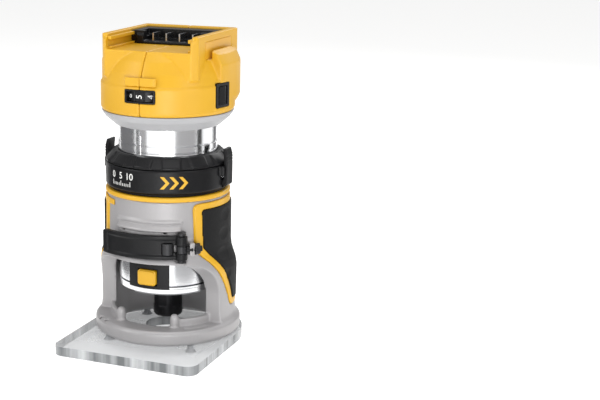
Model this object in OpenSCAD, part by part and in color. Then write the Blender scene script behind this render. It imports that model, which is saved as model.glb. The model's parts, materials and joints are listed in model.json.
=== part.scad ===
// Cordless trim router in its fixed base, millimetres.
// The origin is on the spindle axis at the underside of the sub-base. +Z is up,
// -Y is the front (speed dial, clamp lever, spindle lock) and +X is the switch side.

/* [Sub-base] */
// Half width of the clear plate
plate_half = 53.15; // [52.5:0.05:56]
// Thickness of the clear plate
plate_t = 6.6; // [5:0.1:8]
// Distance from the spindle axis to the straight front edge
plate_front = 76.8; // [70:0.1:90]
// Radius of the cutter opening
opening_r = 15.9; // [14:0.1:18]

/* [Base casting] */
// Outer radius of the ring foot
foot_r = 51.6; // [50:0.1:52.4]
// Height of the top of the ring foot
foot_top = 17; // [15:0.5:19]
// Outer radius of the legs
leg_r = 47.8; // [46:0.1:49]
// Outer radius of the clamp barrel
barrel_r = 42.6; // [41:0.1:44]
// Height of the top of the barrel
barrel_top = 106; // [100:1:112]
// Clearance between the barrel bore and the motor sleeve, on the radius
slide_gap = 0.3; // [0.1:0.05:0.5]

/* [Motor unit] */
// Outer radius of the motor sleeve
tube_r = 34.5; // [32.5:0.1:35]
// Radius of the lower band of the head
head_r = 46.5; // [45:0.1:48]
// Half width of the battery bay block
bay_half = 35.4; // [33:0.1:37]
// Height of the bay floor
bay_floor = 206.5; // [204:0.5:208]
// Height of the bay walls
bay_top = 217; // [214:0.5:220]
// How far the back of the head is set back from the spindle axis
back_shift = 9.2; // [6:0.1:10]

/* [Collet] */
// Radius of the cutter shank that the collet grips
shank_r = 3.175; // [3:0.005:4]
// Outer radius of the collet nut
nut_r = 10.4; // [10:0.1:12]

/* [Clamp] */
// Angle of the lever's pivot from the front, towards the switch side
pivot_angle = 36; // [34:1:38]
// Angle of the lever's free end from the front, towards the other side
lever_end = 28; // [20:1:32]

/* [Hidden] */
$fn = 96;
eps = 0.01;
cast_grey = [0.66, 0.65, 0.65];
trim_yellow = [0.93, 0.69, 0.18];
soft_black = [0.12, 0.12, 0.13];
bright_metal = [0.82, 0.82, 0.84];
dark_metal = [0.35, 0.35, 0.37];
copper = [0.72, 0.45, 0.2];

bore_r = tube_r + slide_gap;
leg_in_r = 37;
leg_face_y = -13.4;
arch_r = 26.6;
arch_y = leg_face_y - arch_r;
arch_z = 36;
barrel_bottom = 62;
screw_ring_r = 44.5;
screw_angles = [45, 135, 225, 315];
screw_r = 1.9;
screw_head_r = 3.9;
post_angle = 31;
// Places of the two small holes for accessories on the ring foot.
guide_holes = [[-36, -33.7], [-29.4, -38.7]];

grip_in_r = 41.6;
grip_top = 104;
lever_z = [67, 83.6];
lever_c = [-4.5, 4.8];
lever_r = 52.2;
lever_out_r = 45.9;
brow_r = 45.2;
pivot_r = 46.4;
pin_r = 1.8;
knuckle_r = 4;
screw_z = 74.3;
clamp_screw_r = 2;

trim_z = [barrel_top, 109.2];
carrier_z = [109.2, 127.6];
carrier_r = 43.5;
crown_z = [127.9, 135.6];
crown_in_r = 34.8;
rib_count = 13;
tab_z = [113, 139];
tab_pivot_z = 123.8;
tab_pivot_r = 42.3;
tab_pin_r = 1.2;
tab_w = 10;

tube_z = [44, 160];
tube_in_r = 31.5;
nose_z = [38, 68];
web_z = [44, 58];
button_z = 50.5;
button_w = 13.5;
button_h = 11;
button_front = 36.9;
panel_angle = 26;
panel_z = [42.3, 60];
lower_bearing_z = [58.2, 67.2];
upper_bearing_z = [134, 142];
bracket_z = [131, 144];
stator_z = [77, 107];

neck_z = [153.6, 163.7];
band_top = 184;
wall = 2.6;
bay_y = [-33.5, 40];
bay_in = 31;
block_front = 6;
dial_r = 13;
dial_y = -(head_r - dial_r) + 0.5;
dial_z = [174.5, 181];
switch_angle = 78;
switch_z = [168.5, 185];
vent_z = [178, 184.5, 191];
// Joining screws of the head: [y, z] of each axis, which lies along X.
joint_screws = [[26, 171], [-22, 196]];

// ---- Helpers -------------------------------------------------------------

// A point at radius r and angle a from the front, where positive a is towards +X.
function front_polar(r, a) = [r * sin(a), -r * cos(a)];

// Ring between two radii and two heights.
module tube_ring(r_out, r_in, z) {
    translate([0, 0, z[0]]) difference() {
        cylinder(r = r_out, h = z[1] - z[0]);
        translate([0, 0, -1]) cylinder(r = r_in, h = z[1] - z[0] + 2);
    }
}

// Sector of a ring between angles a[0] and a[1], measured from the front.
module ring_sector(r_out, r_in, z, a) {
    rotate([0, 0, a[0] - 90]) translate([0, 0, z[0]])
        rotate_extrude(angle = a[1] - a[0])
            translate([r_in, 0]) square([r_out - r_in, z[1] - z[0]]);
}

// Places its children at radius r and angle a from the front, with local -Y facing outwards.
module at_front(r, a, z) {
    rotate([0, 0, a]) translate([0, -r, z]) children();
}

// Solid between x = -w/2 and w/2 whose side outline is given as [y, z] points.
module side_extrude(w) {
    rotate([90, 0, 90]) translate([0, 0, -w / 2]) linear_extrude(w) children();
}

// Box centred on X, from y0 to y1 and z0 to z1.
module span_box(w, y, z) {
    translate([-w / 2, y[0], z[0]]) cube([w, y[1] - y[0], z[1] - z[0]]);
}

// Rectangle with round corners, centred.
module round_rect(w, h, r) {
    union() {
        square([w - 2 * r, h], center = true);
        square([w, h - 2 * r], center = true);
        for (x = [-1, 1], y = [-1, 1])
            translate([x * (w / 2 - r), y * (h / 2 - r)]) circle(r = r, $fn = 32);
    }
}

// Moves every edge of a clockwise outline inwards by d.
function unit(v) = v / norm(v);
function inward(a, b) = let (u = unit(b - a)) [u[1], -u[0]];
function inset(p, d) = [
    for (i = [0:len(p) - 1])
        let (n = len(p), q = p[(i + n - 1) % n], s = p[(i + 1) % n],
             m = inward(q, p[i]), k = inward(p[i], s))
        p[i] + (m + k) * d / (1 + m * k)
];

// Cuts each corner of an outline back to a short round of three steps.
function rounded(p, r) = [
    for (i = [0:len(p) - 1])
        let (n = len(p), a = p[i] + unit(p[(i + n - 1) % n] - p[i]) * r,
             b = p[i] + unit(p[(i + 1) % n] - p[i]) * r)
        for (t = [0, 0.33, 0.67, 1])
            (1 - t) * (1 - t) * a + 2 * t * (1 - t) * p[i] + t * t * b
];

// ---- Sub-base and base casting --------------------------------------------

module sub_base() {
    color([0.85, 0.9, 0.92, 0.5]) difference() {
        union() {
            cylinder(r = plate_half, h = plate_t);
            span_box(2 * plate_half, [-plate_front + 8, 0], [0, plate_t]);
            span_box(2 * plate_half - 16, [-plate_front, 0], [0, plate_t]);
            for (x = [-1, 1])
                translate([x * (plate_half - 8), -plate_front + 8, 0]) cylinder(r = 8, h = plate_t);
        }
        translate([0, 0, -1]) cylinder(r = opening_r, h = plate_t + 2);
        for (a = screw_angles) at_front(screw_ring_r, a, 0) {
            translate([0, 0, -1]) cylinder(r = screw_r + 0.3, h = plate_t + 2);
            translate([0, 0, -eps]) cylinder(r1 = screw_head_r + 0.3, r2 = screw_r + 0.3, h = 2.4);
        }
    }
}

module sub_base_screws() {
    color(bright_metal) for (a = screw_angles) at_front(screw_ring_r, a, 0.25) difference() {
        union() {
            cylinder(r1 = screw_head_r, r2 = screw_r, h = 2);
            cylinder(r = screw_r, h = 14.5);
        }
        translate([0, 0, -1]) cylinder(r = 1.5, h = 2.2, $fn = 6);
    }
}

// Walls that turn about the spindle axis: the ring foot, the legs and the barrel.
module casting_walls() {
    rotate_extrude() polygon([
        [leg_in_r, plate_t], [foot_r - 1.6, plate_t], [foot_r, plate_t + 1.6], [foot_r, foot_top - 1.8],
        [leg_r + 1.5, foot_top + 0.5], [leg_r + 0.4, foot_top + 3], [leg_r, foot_top + 8], [leg_r, 55],
        [leg_r - 1, 60], [barrel_r + 1.2, 67], [barrel_r, 72], [barrel_r, barrel_top],
        [bore_r, barrel_top], [bore_r, barrel_bottom], [leg_in_r, barrel_bottom]
    ]);
}

// The front opening: one sweep across the whole width, round at the top.
module arch_opening() {
    side_extrude(130) polygon(concat(
        [[leg_face_y, foot_top], [-95, foot_top], [-95, arch_z + arch_r]],
        [for (i = [0:16]) [arch_y + arch_r * sin(i * 90 / 16), arch_z + arch_r * cos(i * 90 / 16)]]
    ));
}

// Side outline of a grip as [y, z] points, clockwise seen from +X.
function grip_outline(d) = rounded(inset([
    [-28.5, grip_top], [28.5, grip_top], [28.5, 78], [18, 60], [15, 27], [0, 27],
    [-4.5, 38], [-12, 51], [-27.5, 71.5]
], d), 4 - d * 0.55);

// Grip solid on one side between two radii, outline inset by d. The outer face follows the leg's flare.
module grip_solid(side, r_in, proud, d) {
    intersection() {
        rotate_extrude() polygon([
            [r_in, 20], [leg_r + proud, 20], [leg_r + proud, 55], [leg_r - 1 + proud, 60],
            [barrel_r + 1.2 + proud, 67], [barrel_r + 0.6 + proud, 72],
            [barrel_r + 0.6 + proud, 110], [r_in, 110]
        ]);
        translate([side * 35, 0, 0]) side_extrude(45) polygon(grip_outline(d));
    }
}

// Screw and pin spaces of the clamp.
module clamp_relief() {
    at_front(pivot_r, pivot_angle, lever_z[0] - 2.4) cylinder(r = knuckle_r + 0.8, h = lever_z[1] - lever_z[0] + 4.8);
    at_front(pivot_r, pivot_angle, screw_z) rotate([0, 90, 0]) cylinder(r = clamp_screw_r + 0.3, h = 30);
    rotate([0, 0, pivot_angle + 3]) span_box(1.8, [-60, -30], [barrel_bottom - 1, 84.8]);
    ring_sector(60, 30, [84.1, 85.3], [-27, pivot_angle + 4.6]);
}

// Brow above the lever, sloping outwards down to a lip.
module brow() {
    rotate([0, 0, -118]) rotate_extrude(angle = 64) polygon([
        [barrel_r - 2.2, 85.6], [brow_r - 0.6, 85.6], [brow_r, 86.4], [brow_r - 0.3, 87.4],
        [barrel_r - 0.8, 90.4], [barrel_r - 2.2, 90.4]
    ]);
}

// Lug that the clamp screw pulls on.
module clamp_lug() {
    rotate([0, 0, pivot_angle]) translate([5.2, -pivot_r - 2.6, screw_z - 4.6]) cube([3.6, 10, 9.2]);
}

// Round-topped post at the end of the rib on the ring foot.
module post() {
    rotate_extrude() polygon([[0, 0], [3.1, 0], [3.1, 7.4], [2.6, 9.2], [1.5, 10.3], [0, 10.6]]);
}

module base_casting() {
    color(cast_grey) difference() {
        union() {
            difference() {
                casting_walls();
                arch_opening();
                ring_sector(60, barrel_r - 1.6, [86.6, 91.6], [-28.6, 36.6]);
            }
            brow();
            clamp_lug();
            for (s = [-1, 1]) at_front(39.6, s * post_angle, foot_top - 1) post();
            ring_sector(40.2, leg_in_r + 0.4, [foot_top - 1, 22.6], [-78, -post_angle]);
            ring_sector(40.2, leg_in_r + 0.4, [foot_top - 1, 22.6], [post_angle, 78]);
            ring_sector(barrel_r + 0.9, barrel_r - 1, [91.4, 92.8], [-30, 38]);
        }
        span_box(31, [-38.3, 0], [barrel_bottom - 1, barrel_top + 1]);
        for (s = [-1, 1]) grip_solid(s, grip_in_r, 4, -0.15);
        ring_sector(60, barrel_r + 0.1, [lever_z[0] - 0.9, lever_z[1] + 0.7], [-46, 34]);
        clamp_relief();
        for (a = screw_angles) at_front(screw_ring_r, a, plate_t - 1) cylinder(r = screw_r + 0.1, h = 9.6);
        for (p = guide_holes) translate([p[0], p[1], foot_top - 7]) cylinder(r = 1.6, h = 10);
        ring_sector(47.4, 43.2, [foot_top - 1.2, foot_top + 2], [38, 62]);
    }
}

module base_trim_ring() {
    color(trim_yellow) {
        rotate_extrude() polygon([
            [bore_r + 1, trim_z[0]], [barrel_r + 0.9, trim_z[0]], [barrel_r + 1.2, trim_z[0] + 0.6],
            [barrel_r + 1.2, trim_z[1] - 0.8], [barrel_r + 0.4, trim_z[1]], [bore_r + 1, trim_z[1]]
        ]);
    }
}

module grip_border(side) {
    color(trim_yellow) difference() {
        union() {
            difference() {
                grip_solid(side, grip_in_r, 0.6, 0);
                grip_solid(side, grip_in_r - 2, 4, 4.4);
            }
            if (side < 0) ring_sector(barrel_r + 1, barrel_r + 0.02, [99.5, 103.7], [-51, -34]);
        }
    }
}

module grip(side) {
    color(soft_black) difference() {
        grip_solid(side, grip_in_r, 1.5, 4.55);
    }
}

module left_grip_border() { grip_border(-1); }
module right_grip_border() { grip_border(1); }
module left_grip() { grip(-1); }
module right_grip() { grip(1); }

// ---- Clamp lever -----------------------------------------------------------

module lever_pin() {
    color(dark_metal) at_front(pivot_r, pivot_angle, lever_z[0] - 2) {
        cylinder(r = pin_r, h = lever_z[1] - lever_z[0] + 4);
        cylinder(r = 3, h = 1.7);
        translate([0, 0, lever_z[1] - lever_z[0] + 2.3]) cylinder(r = 3, h = 1.7);
    }
}

module clamp_screw() {
    color(dark_metal) difference() {
        union() {
            at_front(pivot_r, pivot_angle, screw_z - 2.4) cylinder(r = 3.7, h = 4.8);
            at_front(pivot_r, pivot_angle, screw_z) translate([2.5, 0, 0])
                rotate([0, 90, 0]) cylinder(r = clamp_screw_r, h = 11.6);
        }
        at_front(pivot_r, pivot_angle, screw_z - 4) cylinder(r = pin_r + 0.05, h = 8);
    }
}

module clamp_nut() {
    color(dark_metal) at_front(pivot_r, pivot_angle, screw_z) translate([8.9, 0, 0]) difference() {
        union() {
            rotate([0, 90, 0]) cylinder(r = 3.9, h = 3.6, $fn = 6);
            rotate([0, 90, 0]) cylinder(r = 4.2, h = 0.9);
        }
        translate([-1, 0, 0]) rotate([0, 90, 0]) cylinder(r = clamp_screw_r + 0.05, h = 6);
    }
}

module clamp_lever() {
    z = lever_z;
    color(soft_black) difference() {
        union() {
            translate(lever_c) rotate([0, 0, -lever_end - 90]) rotate_extrude(angle = lever_end + 33.5) polygon([
                [lever_r - 2.7, z[0]], [lever_r + 0.6, z[0]], [lever_r + 0.6, z[0] + 2.4],
                [lever_r, z[0] + 3], [lever_r, z[1] - 3], [lever_r + 0.6, z[1] - 2.4],
                [lever_r + 0.6, z[1]], [lever_r - 2.7, z[1]]
            ]);
            translate(lever_c) ring_sector(lever_r + 1.2, lever_r - 2, [z[0] + 0.5, z[1] - 0.5], [-lever_end - 1, -lever_end + 4]);
            at_front(pivot_r, pivot_angle, z[0] + 0.1) cylinder(r = knuckle_r, h = z[1] - z[0] - 0.2);
        }
        at_front(pivot_r, pivot_angle, z[0] - 1) cylinder(r = pin_r + 0.05, h = 30);
        at_front(pivot_r, pivot_angle, screw_z - 2.7) cylinder(r = 5.6, h = 5.4);
        at_front(lever_out_r, 24, screw_z) cube([7.4, 3.6, 8.2], center = true);
    }
}

module lever_cam() {
    color(dark_metal) at_front(lever_out_r - 0.1, 24, screw_z) intersection() {
        cube([7, 3.3, 7.8], center = true);
        translate([0, 4.5, -10]) cylinder(r = 6, h = 20);
    }
}

// ---- Depth ring and release tabs ---------------------------------------------

module ring_carrier() {
    color(soft_black) difference() {
        union() {
            rotate_extrude() polygon([
                [37.9, carrier_z[0]], [41.4, carrier_z[0]], [41.4, 111.4], [carrier_r - 0.8, 111.4],
                [carrier_r, 112.4], [carrier_r, carrier_z[1] - 0.5], [carrier_r - 0.5, carrier_z[1]],
                [37.9, carrier_z[1]]
            ]);
            for (s = [-1, 1]) rotate([0, 0, s * 90]) span_box(tab_w + 8, [-45.3, -40], [120.3, 127.3]);
        }
        for (s = [-1, 1]) rotate([0, 0, s * 90]) {
            span_box(tab_w + 0.8, [-60, -39.2], [tab_z[0] - 0.8, carrier_z[1] + 1]);
            tab_axis() cylinder(r = tab_pin_r + 0.05, h = tab_w + 6, center = true);
        }
    }
}

// Puts its children on the tab's hinge line, along the line.
module tab_axis() {
    translate([0, -tab_pivot_r, tab_pivot_z]) rotate([0, 90, 0]) children();
}

module adjustment_ring() {
    color(soft_black) difference() {
        union() {
            rotate_extrude() polygon([
                [crown_in_r, 113], [37.6, 113], [37.6, crown_z[0]], [42.9, crown_z[0]],
                [42.9, crown_z[0] + 0.8], [37, crown_z[1]], [crown_in_r, crown_z[1]]
            ]);
            for (i = [0:rib_count - 1]) rotate([0, 0, i * 360 / rib_count]) intersection() {
                rotate_extrude() polygon([
                    [36, crown_z[0] + 0.3], [43.3, crown_z[0] + 0.3], [43.3, crown_z[0] + 1.9],
                    [38.2, crown_z[1] - 0.3], [36, crown_z[1] - 0.3]
                ]);
                span_box(12.4, [-60, 0], [120, 140]);
            }
        }
        rotate_extrude() translate([crown_in_r, 118]) square([1, 1.2]);
    }
}

// One release tab at the left (-1) or right (1) of the carrier.
module release_tab(side) {
    color(soft_black) rotate([0, 0, side * 90]) difference() {
        union() {
            side_extrude(tab_w) polygon([
                [-46.6, tab_z[0] + 1], [-45.6, tab_z[0]], [-42, tab_z[0]], [-42, tab_z[0] + 3.4],
                [-43.9, tab_z[0] + 4.6], [-44.1, 133], [-43.4, tab_z[1]], [-45.4, tab_z[1]], [-46.9, 134]
            ]);
            tab_axis() cylinder(r = 2.7, h = tab_w, center = true);
        }
        tab_axis() cylinder(r = tab_pin_r + 0.05, h = 30, center = true);
        for (i = [0:3]) translate([0, -47.3, 130 + 2 * i]) cube([tab_w + 1, 1.6, 0.9], center = true);
    }
}

module left_release_tab() { release_tab(-1); }
module right_release_tab() { release_tab(1); }

module tab_pins() {
    color(bright_metal) for (s = [-1, 1]) rotate([0, 0, s * 90])
        tab_axis() cylinder(r = tab_pin_r, h = tab_w + 5.6, center = true);
}

module tab_springs() {
    color(bright_metal) for (s = [-1, 1], i = [0:3]) rotate([0, 0, s * 90])
        translate([0, -39.7 - 0.95 * i, 119.1]) rotate([90, 0, 0])
            rotate_extrude() translate([1.3, 0]) circle(r = 0.3, $fn = 16);
}

// ---- Motor unit ----------------------------------------------------------------

module panel_space(extra) {
    ring_sector(40, tube_in_r - extra, [panel_z[0] - extra, panel_z[1] + extra],
        [-panel_angle - extra, panel_angle + extra]);
}

module motor_tube() {
    color(bright_metal) difference() {
        rotate_extrude() polygon([
            [tube_in_r, tube_z[0]], [tube_r - 1, tube_z[0]], [tube_r, tube_z[0] + 1],
            [tube_r, 137], [tube_r - 0.5, 137.3], [tube_r - 0.5, 137.8], [tube_r, 138.1],
            [tube_r, 141.8], [tube_r - 0.5, 142.1], [tube_r - 0.5, 142.6], [tube_r, 142.9],
            [tube_r, tube_z[1]], [tube_in_r, tube_z[1]]
        ]);
        panel_space(0.2);
        rotate([0, 0, -8]) span_box(0.7, [-tube_r - 1, -tube_r + 0.35], [panel_z[1] + 4, 149]);
    }
}

module neck_cone() {
    color([0.72, 0.71, 0.71]) rotate_extrude() polygon([
        [tube_r + 0.02, neck_z[0]], [tube_r + 2, neck_z[0]], [38, neck_z[0] + 1.4], [43.4, neck_z[0] + 6],
        [head_r - 0.7, neck_z[1] - 0.6], [head_r - 0.7, neck_z[1] + 0.2], [head_r - 3.2, neck_z[1] + 0.2],
        [41, 160.6], [tube_r + 0.02, 160.6]
    ]);
}

// Outline of the back part of the head as [radius, z] points.
back_profile = [
    [0, 170], [head_r - 1.8, 170], [head_r, 174], [head_r, 197], [43.4, 204], [39, bay_floor], [0, bay_floor]
];

// Outline of the front part, which slopes back to the edge of the bay floor.
front_profile = [
    [0, neck_z[1] + 0.3], [head_r - 1.2, neck_z[1] + 0.3], [head_r, neck_z[1] + 2.4],
    [head_r, band_top - 0.7], [head_r - 0.9, band_top], [head_r - 1.8, band_top + 3],
    [43, 192], [39, 200], [34.6, bay_floor], [0, bay_floor]
];

// The hollow inside the head.
cavity_profile = [
    [0, 166.4], [head_r - wall, 166.4], [head_r - wall, 183], [40.4, 191], [31.5, bay_floor - wall],
    [0, bay_floor - wall]
];

// A closed outline from a right-hand profile that starts and ends on the axis.
function both_sides(p) = concat(p, [for (i = [len(p) - 2:-1:1]) [-p[i][0], p[i][1]]]);

// The head without its bay.
module head_mass() {
    rotate_extrude() polygon(front_profile);
    intersection() {
        union() {
            rotate_extrude() polygon(back_profile);
            translate([0, back_shift, 0]) rotate_extrude() polygon(back_profile);
            translate([0, back_shift, 0]) rotate([90, 0, 0]) linear_extrude(back_shift)
                polygon(both_sides(back_profile));
        }
        span_box(130, [-12.4, 70], [160, 220]);
    }
}

module bay_block() {
    intersection() {
        span_box(2 * bay_half, bay_y, [188, bay_top]);
        translate([0, back_shift - 1.4, 180]) cylinder(r = head_r + 6, h = 50);
        translate([0, 0, 180]) union() {
            cylinder(r = head_r - 0.4, h = 50);
            span_box(120, [0, 60], [0, 50]);
        }
    }
}

module bay_pocket() {
    span_box(2 * bay_in, [-60, 34], [bay_floor, bay_top + 5]);
    for (s = [-1, 1]) translate([s * bay_half, bay_y[0], bay_top])
        rotate([0, 90, 0]) cylinder(r = 3.4, h = 12, center = true, $fn = 48);
}

module switch_seat(extra) {
    at_front(head_r, switch_angle, (switch_z[0] + switch_z[1]) / 2)
        cube([15.2 + 2 * extra, 14, switch_z[1] - switch_z[0] + 2 * extra], center = true);
}

module dial_seat(extra) {
    span_box(22.4 + 2 * extra, [-60, -38], [173.2 - extra, 182.3 + extra]);
}

module vents() {
    for (z = vent_z) translate([-60, 33, z]) rotate([0, 90, 0]) cylinder(r = 2.1, h = 120);
}

module head_solid() {
    difference() {
        union() {
            head_mass();
            bay_block();
        }
        difference() {
            rotate_extrude() polygon(cavity_profile);
            for (p = joint_screws) translate([-60, p[0], p[1]]) rotate([0, 90, 0]) cylinder(r = 3.8, h = 120);
        }
        translate([0, 0, neck_z[1] - 1]) cylinder(r = 41, h = wall + 2);
        bay_pocket();
        switch_seat(0);
        dial_seat(0);
        vents();
        for (p = joint_screws) translate([-60, p[0], p[1]]) rotate([0, 90, 0]) {
            cylinder(r = 1.7, h = 80);
            cylinder(r = 3.2, h = 32.4);
        }
        translate([bay_half - 0.8, -18, 200.5]) cube([3, 46, 12]);
        span_box(23.6, [-60, -44.2], [184.6, 190.4]);
    }
}

module head_half(side) {
    intersection() {
        head_solid();
        translate([side > 0 ? 0.05 : -70.05, -70, 150]) cube([70, 140, 90]);
    }
}

module head_left_shell() { color(trim_yellow) head_half(-1); }
module head_right_shell() { color(trim_yellow) head_half(1); }

// Screws that hold the two halves together, driven from the left.
module housing_screws() {
    color(dark_metal) for (p = joint_screws) translate([-30, p[0], p[1]]) rotate([0, 90, 0]) {
        cylinder(r = 1.6, h = 42);
        cylinder(r = 3, h = 2.2);
    }
}

// Guide rails on the inner faces of the bay walls, under which the battery slides.
module bay_rails() {
    color(trim_yellow) for (s = [-1, 1]) translate([s * (bay_in - 1.35), 0, 0]) {
        span_box(2.7, [bay_y[0] + 3, block_front], [212.6, 215]);
        span_box(2.7, [bay_y[0] + 3, block_front], [bay_floor, bay_floor + 1.6]);
    }
}

module terminal_block() {
    color(soft_black) difference() {
        union() {
            span_box(2 * bay_in - 0.4, [block_front, 33.8], [bay_floor, bay_top - 1.4]);
            span_box(2 * bay_in - 9, [block_front - 1.4, block_front + 1], [bay_floor, bay_top - 4]);
        }
        span_box(42, [block_front - 5, 22], [bay_floor + 2, bay_top + 3]);
        span_box(50, [10, 22], [bay_floor + 5, bay_top + 3]);
    }
}

module terminal_blades() {
    color(bright_metal) for (x = [-15, -5, 5, 15])
        translate([x, 0, 0]) span_box(1, [8, 20], [bay_floor + 2, bay_top - 3]);
}

module label_plate() {
    color([0.8, 0.62, 0.2]) translate([bay_half - 0.8, -17.6, 200.9]) cube([0.75, 45.2, 11.2]);
}

module speed_dial() {
    color(soft_black) difference() {
        union() {
            translate([0, dial_y, dial_z[0]]) cylinder(r = dial_r, h = dial_z[1] - dial_z[0]);
            translate([0, dial_y, dial_z[0] - 0.8]) cylinder(r = 4, h = dial_z[1] - dial_z[0] + 1.6);
        }
        translate([0, dial_y, dial_z[0] - 2]) cylinder(r = 2.05, h = 20);
        for (i = [0:11]) translate([0, dial_y, dial_z[0] - 1]) rotate([0, 0, 15 + 30 * i])
            translate([0, -dial_r - 0.35, 0]) cylinder(r = 0.8, h = 12, $fn = 24);
    }
}

module dial_pin() {
    color(bright_metal) translate([0, dial_y, dial_z[0] - 3.4])
        cylinder(r = 2, h = dial_z[1] - dial_z[0] + 6.8);
}

// Black frame of the dial window, curved like the head.
module dial_bezel() {
    color(soft_black) intersection() {
        difference() {
            cylinder(r = head_r + 0.05, h = 300);
            translate([0, 0, -1]) cylinder(r = head_r - wall, h = 302);
        }
        difference() {
            span_box(22.2, [-60, -38], [173.3, 182.2]);
            span_box(19.6, [-70, 0], [174.2, 181.3]);
        }
    }
}

// Two small raised covers side by side over the dial.
module head_pad() {
    color(trim_yellow) difference() {
        span_box(23.4, [-46.2, -44.25], [184.7, 190.3]);
        span_box(0.5, [-50, -45.4], [180, 195]);
        for (s = [-1, 1]) translate([s * 11.7, -46.2, 180]) rotate([0, 0, 45]) cube([2, 2, 30], center = true);
    }
}

module switch_place() {
    at_front(head_r, switch_angle, (switch_z[0] + switch_z[1]) / 2) children();
}

module switch_frame() {
    color(soft_black) switch_place() difference() {
        translate([0, 3.6, 0]) cube([15, 6.4, 16.3], center = true);
        cube([10.4, 30, 12.4], center = true);
        translate([0, 3, 0]) cylinder(r = 1.25, h = 13.8, center = true);
    }
}

module switch_body() {
    color(soft_black) switch_place() difference() {
        translate([0, 13.9, 0]) cube([14.6, 14, 15.8], center = true);
        translate([0, 6.6, 0]) cube([10.4, 3.4, 12.4], center = true);
    }
}

// Rocker with two faces that meet in an upright ridge, leaning on its rear half.
module switch_rocker() {
    color([0.25, 0.25, 0.27]) switch_place() translate([0, 3, 0]) rotate([0, 0, 6]) {
        linear_extrude(12, center = true) polygon([
            [-4.9, -2.4], [0, -3.9], [4.9, -2.4], [4.7, 0.2], [2, 1.8], [-2, 1.8], [-4.7, 0.2]
        ]);
        cylinder(r = 1.2, h = 13.4, center = true);
    }
}

module control_board() {
    color([0.1, 0.35, 0.2]) {
        translate([0, 0, 187]) linear_extrude(1.6) round_rect(58, 50, 4);
        for (x = [-18, 0, 18]) translate([x, 12, 188.6]) cylinder(r = 5, h = 10);
        for (x = [-22:11:22]) translate([x - 3, -18, 188.6]) cube([6, 8, 3.5]);
        for (x = [-24, 24], y = [-20, 20]) translate([x, y, 164]) cylinder(r = 1.8, h = 23);
    }
}

// Lower motor housing: a turned cup whose web holds the lock and the lower bearing.
module nose_housing() {
    color(bright_metal) difference() {
        union() {
            rotate_extrude() polygon([
                [27, nose_z[0]], [tube_r - 1.6, nose_z[0]], [tube_r - 0.4, nose_z[0] + 1.2],
                [tube_r - 0.4, nose_z[0] + 4], [tube_r, nose_z[0] + 4.4], [tube_r, tube_z[0] - 0.3],
                [tube_in_r - 0.02, tube_z[0] - 0.3], [tube_in_r - 0.02, web_z[1] + 1], [17.5, nose_z[1]],
                [11, nose_z[1]], [11, web_z[1]], [8.8, web_z[1]], [8.8, web_z[0]], [27, web_z[0]]
            ]);
        }
        translate([0, 0, lower_bearing_z[0] - 0.2]) cylinder(r = 14.05, h = 20);
        panel_space(0.2);
        span_box(button_w + 0.6, [-40, -26.4], [button_z - 5.9, button_z + 5.9]);
        translate([0, 0, button_z]) rotate([90, 0, 0]) cylinder(r = 2.05, h = 30);
        translate([0, -18, button_z]) rotate([90, 0, 0]) cylinder(r = 4.2, h = 20);
        for (a = [60:60:300]) at_front(20.5, a, web_z[0] - 1) cylinder(r = 3.6, h = 30);
    }
}

module light_ring() {
    color([0.9, 0.95, 1, 0.6]) difference() {
        tube_ring(26.7, 15, [40.2, 43.8]);
        for (a = [30:60:330]) at_front(21, a, 42.6) cylinder(r = 2.2, h = 3);
    }
}

module lock_panel() {
    color(soft_black) difference() {
        ring_sector(34.9, tube_in_r, panel_z, [-panel_angle, panel_angle]);
        span_box(button_w + 0.6, [-50, -20], [button_z - 5.8, button_z + 5.8]);
    }
}

module lock_button() {
    color(trim_yellow) translate([0, 0, button_z]) rotate([90, 0, 0]) {
        translate([0, 0, 31]) linear_extrude(button_front - 31.8) round_rect(button_w, button_h, 2);
        translate([0, 0, 31]) linear_extrude(button_front - 31) round_rect(button_w - 1.6, button_h - 1.6, 1.6);
    }
}

module lock_pin() {
    color(dark_metal) translate([0, 0, button_z]) rotate([90, 0, 0]) translate([0, 0, 9.2])
        cylinder(r = pin_r, h = 21.8);
}

module lock_spring() {
    color(bright_metal) for (i = [0:8]) translate([0, -18.6 - 1.45 * i, button_z]) rotate([90, 0, 0])
        rotate_extrude() translate([3, 0]) circle(r = 0.4, $fn = 16);
}

module stator_core() {
    color(dark_metal) difference() {
        tube_ring(tube_in_r - 0.05, 15, stator_z);
        for (i = [0:5]) rotate([0, 0, 60 * i]) {
            span_box(4, [-18, -14], [stator_z[0] - 1, stator_z[1] + 1]);
            translate([0, 0, stator_z[0] - 1]) rotate([0, 0, -108]) rotate_extrude(angle = 36)
                translate([18, 0]) square([9, stator_z[1] - stator_z[0] + 2]);
        }
    }
}

module stator_windings() {
    color(copper) for (z = [[stator_z[0] - 6, stator_z[0]], [stator_z[1], stator_z[1] + 6]], i = [0:5])
        rotate([0, 0, 30 + 60 * i]) ring_sector(27.5, 17.5, z, [-17, 17]);
}

module rotor_magnet() {
    color(dark_metal) tube_ring(13.8, 5.6, [stator_z[0] + 0.5, stator_z[1] - 0.5]);
}

// Stepped shaft with the collet seat bored in its lower end.
module spindle() {
    color(bright_metal) rotate_extrude() polygon([
        [6.2, 20.8], [7.7, 20.8], [8.2, 21.4], [8.2, 37], [7.2, 38], [7.2, 47.6], [5.6, 48.4], [5.6, 52.6],
        [7.2, 53.4], [7.2, 57.8], [6, 58.2], [6, 69], [5.6, 70], [5.6, 131], [5, 133], [5, 147],
        [4.4, 148], [0, 148], [0, 47], [6.2, 45.5]
    ]);
}

module fan() {
    color(soft_black) {
        tube_ring(9, 5.6, [117, 127]);
        tube_ring(26, 8.9, [117, 118.6]);
        for (i = [0:10]) rotate([0, 0, i * 360 / 11]) translate([0, -8.9, 118.5]) rotate([0, 0, 18])
            translate([-0.7, -17, 0]) cube([1.4, 17, 8]);
    }
}

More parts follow.
